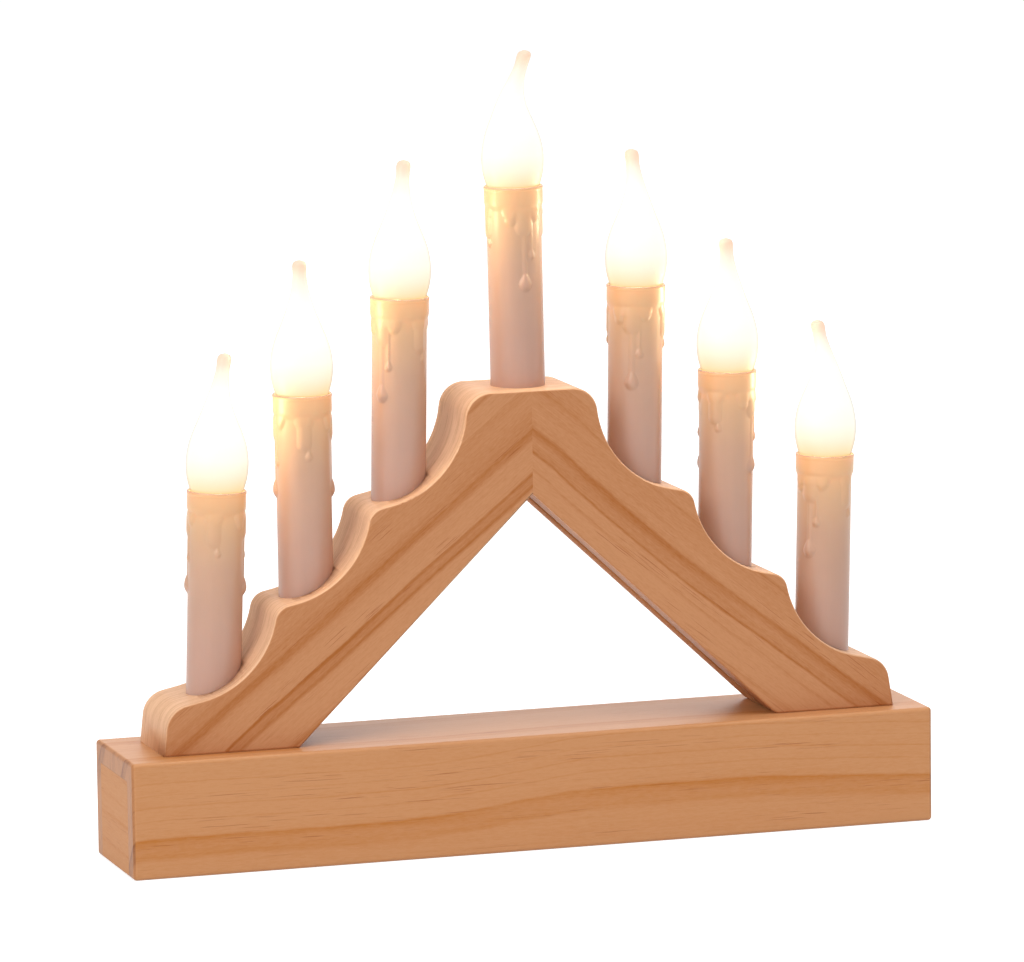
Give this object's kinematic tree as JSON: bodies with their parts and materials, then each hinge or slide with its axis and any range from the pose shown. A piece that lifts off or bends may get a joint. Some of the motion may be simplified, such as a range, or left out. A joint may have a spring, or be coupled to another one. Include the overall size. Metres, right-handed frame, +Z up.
{
  "type": "candle arch",
  "caption": "Stepped wooden candle arch on a box base, with flame lamps on candle sleeves, lit by a battery box hidden in the base.",
  "frame": {"origin": "on the table, under the middle of the base", "axes": "+X along the base towards the right end, the front faces -Y, +Z up"},
  "size_m": [0.26, 0.0446, 0.247],
  "materials": {
    "pine": "sanded, clear matt lacquer",
    "plate_board": "plain board",
    "dowel_wood": "plain",
    "screw_steel": "zinc plated",
    "box_plastic": "fine matt",
    "cell_jacket": "satin sleeve",
    "contact_steel": "nickel plated",
    "circuit_board": "satin",
    "switch_plastic": "matt",
    "lead_jacket": "satin",
    "holder_plastic": "matt",
    "brass": "bright",
    "sleeve_plastic": "semi-gloss, slightly translucent",
    "frosted_glass": "frosted",
    "lamp_stem_plastic": "satin",
    "lamp_insulator": "satin"
  },
  "bodies": {
    "arch": {"base_channel": "pine", "end_plug_left": "pine", "end_plug_right": "pine", "bottom_plate": "plate_board", "arch_leg_left": "pine", "arch_leg_right": "pine", "mitre_dowels": "dowel_wood", "arch_screws": "screw_steel", "plate_screws": "screw_steel", "box_screws": "screw_steel", "battery_box": "box_plastic", "battery_front": "cell_jacket", "battery_rear": "cell_jacket", "contact_link": "contact_steel", "contact_terminals": "contact_steel", "timer_board": "circuit_board", "switch_body": "switch_plastic", "wiring_left": "lead_jacket", "wiring_right": "lead_jacket", "holder_bodies": "holder_plastic", "holder_shells": "brass", "holder_contacts": "brass", "sleeve_1": "sleeve_plastic", "sleeve_2": "sleeve_plastic", "sleeve_3": "sleeve_plastic", "sleeve_4": "sleeve_plastic", "sleeve_5": "sleeve_plastic", "sleeve_6": "sleeve_plastic", "sleeve_7": "sleeve_plastic"},
    "lid": {"battery_lid": "box_plastic"},
    "switch": {"switch_slider": "switch_plastic"},
    "lamp_tip_1": {"lamp_contact_1": "lamp_insulator"},
    "lamp_1": {"flame_glass_1": "frosted_glass", "lamp_stem_1": "lamp_stem_plastic", "lamp_cap_1": "brass"},
    "lamp_tip_2": {"lamp_contact_2": "lamp_insulator"},
    "lamp_2": {"flame_glass_2": "frosted_glass", "lamp_stem_2": "lamp_stem_plastic", "lamp_cap_2": "brass"},
    "lamp_tip_3": {"lamp_contact_3": "lamp_insulator"},
    "lamp_3": {"flame_glass_3": "frosted_glass", "lamp_stem_3": "lamp_stem_plastic", "lamp_cap_3": "brass"},
    "lamp_tip_4": {"lamp_contact_4": "lamp_insulator"},
    "lamp_4": {"flame_glass_4": "frosted_glass", "lamp_stem_4": "lamp_stem_plastic", "lamp_cap_4": "brass"},
    "lamp_tip_5": {"lamp_contact_5": "lamp_insulator"},
    "lamp_5": {"flame_glass_5": "frosted_glass", "lamp_stem_5": "lamp_stem_plastic", "lamp_cap_5": "brass"},
    "lamp_tip_6": {"lamp_contact_6": "lamp_insulator"},
    "lamp_6": {"flame_glass_6": "frosted_glass", "lamp_stem_6": "lamp_stem_plastic", "lamp_cap_6": "brass"},
    "lamp_tip_7": {"lamp_contact_7": "lamp_insulator"},
    "lamp_7": {"flame_glass_7": "frosted_glass", "lamp_stem_7": "lamp_stem_plastic", "lamp_cap_7": "brass"}
  },
  "joints": [
    {"name": "battery_lid_slide", "type": "slide", "parent": "arch", "child": "lid", "axis": [1, 0, 0], "range_m": [0, 0.055]},
    {"name": "switch_slide", "type": "slide", "parent": "arch", "child": "switch", "axis": [1, 0, 0], "range_m": [-0.002, 0.002]},
    {"name": "bulb_1_rise", "type": "slide", "parent": "arch", "child": "lamp_tip_1", "axis": [0.0349, 0, 0.9994], "range_m": [0, 0.00815]},
    {"name": "bulb_1_turn", "type": "hinge", "parent": "lamp_tip_1", "child": "lamp_1", "pos_m": [-0.09783, 0, 0.0528], "axis": [0.0349, 0, 0.9994], "range_deg": [0, 1620]},
    {"name": "bulb_2_rise", "type": "slide", "parent": "arch", "child": "lamp_tip_2", "axis": [-0.0035, 0, 1], "range_m": [0, 0.00815]},
    {"name": "bulb_2_turn", "type": "hinge", "parent": "lamp_tip_2", "child": "lamp_2", "pos_m": [-0.06771, 0, 0.0812], "axis": [-0.0035, 0, 1], "range_deg": [0, 1620]},
    {"name": "bulb_3_rise", "type": "slide", "parent": "arch", "child": "lamp_tip_3", "axis": [0.0209, 0, 0.9998], "range_m": [0, 0.00815]},
    {"name": "bulb_3_turn", "type": "hinge", "parent": "lamp_tip_3", "child": "lamp_3", "pos_m": [-0.03752, 0, 0.1096], "axis": [0.0209, 0, 0.9998], "range_deg": [0, 1620]},
    {"name": "bulb_4_rise", "type": "slide", "parent": "arch", "child": "lamp_tip_4", "axis": [-0.0122, 0, 0.9999], "range_m": [0, 0.00815]},
    {"name": "bulb_4_turn", "type": "hinge", "parent": "lamp_tip_4", "child": "lamp_4", "pos_m": [0.00165, 0, 0.1423], "axis": [-0.0122, 0, 0.9999], "range_deg": [0, 1620]},
    {"name": "bulb_5_rise", "type": "slide", "parent": "arch", "child": "lamp_tip_5", "axis": [0.0192, 0, 0.9998], "range_m": [0, 0.00815]},
    {"name": "bulb_5_turn", "type": "hinge", "parent": "lamp_tip_5", "child": "lamp_5", "pos_m": [0.03934, 0, 0.1096], "axis": [0.0192, 0, 0.9998], "range_deg": [0, 1620]},
    {"name": "bulb_6_rise", "type": "slide", "parent": "arch", "child": "lamp_tip_6", "axis": [0.0218, 0, 0.9998], "range_m": [0, 0.00815]},
    {"name": "bulb_6_turn", "type": "hinge", "parent": "lamp_tip_6", "child": "lamp_6", "pos_m": [0.06901, 0, 0.0812], "axis": [0.0218, 0, 0.9998], "range_deg": [0, 1620]},
    {"name": "bulb_7_rise", "type": "slide", "parent": "arch", "child": "lamp_tip_7", "axis": [0.0244, 0, 0.9997], "range_m": [0, 0.00815]},
    {"name": "bulb_7_turn", "type": "hinge", "parent": "lamp_tip_7", "child": "lamp_7", "pos_m": [0.1012, 0, 0.0528], "axis": [0.0244, 0, 0.9997], "range_deg": [0, 1620]}
  ],
  "couplings": [
    {"joint": "bulb_1_rise", "follows": "bulb_1_turn", "m_per_rad": 0.00028807},
    {"joint": "bulb_2_rise", "follows": "bulb_2_turn", "m_per_rad": 0.00028807},
    {"joint": "bulb_3_rise", "follows": "bulb_3_turn", "m_per_rad": 0.00028807},
    {"joint": "bulb_4_rise", "follows": "bulb_4_turn", "m_per_rad": 0.00028807},
    {"joint": "bulb_5_rise", "follows": "bulb_5_turn", "m_per_rad": 0.00028807},
    {"joint": "bulb_6_rise", "follows": "bulb_6_turn", "m_per_rad": 0.00028807},
    {"joint": "bulb_7_rise", "follows": "bulb_7_turn", "m_per_rad": 0.00028807}
  ]
}
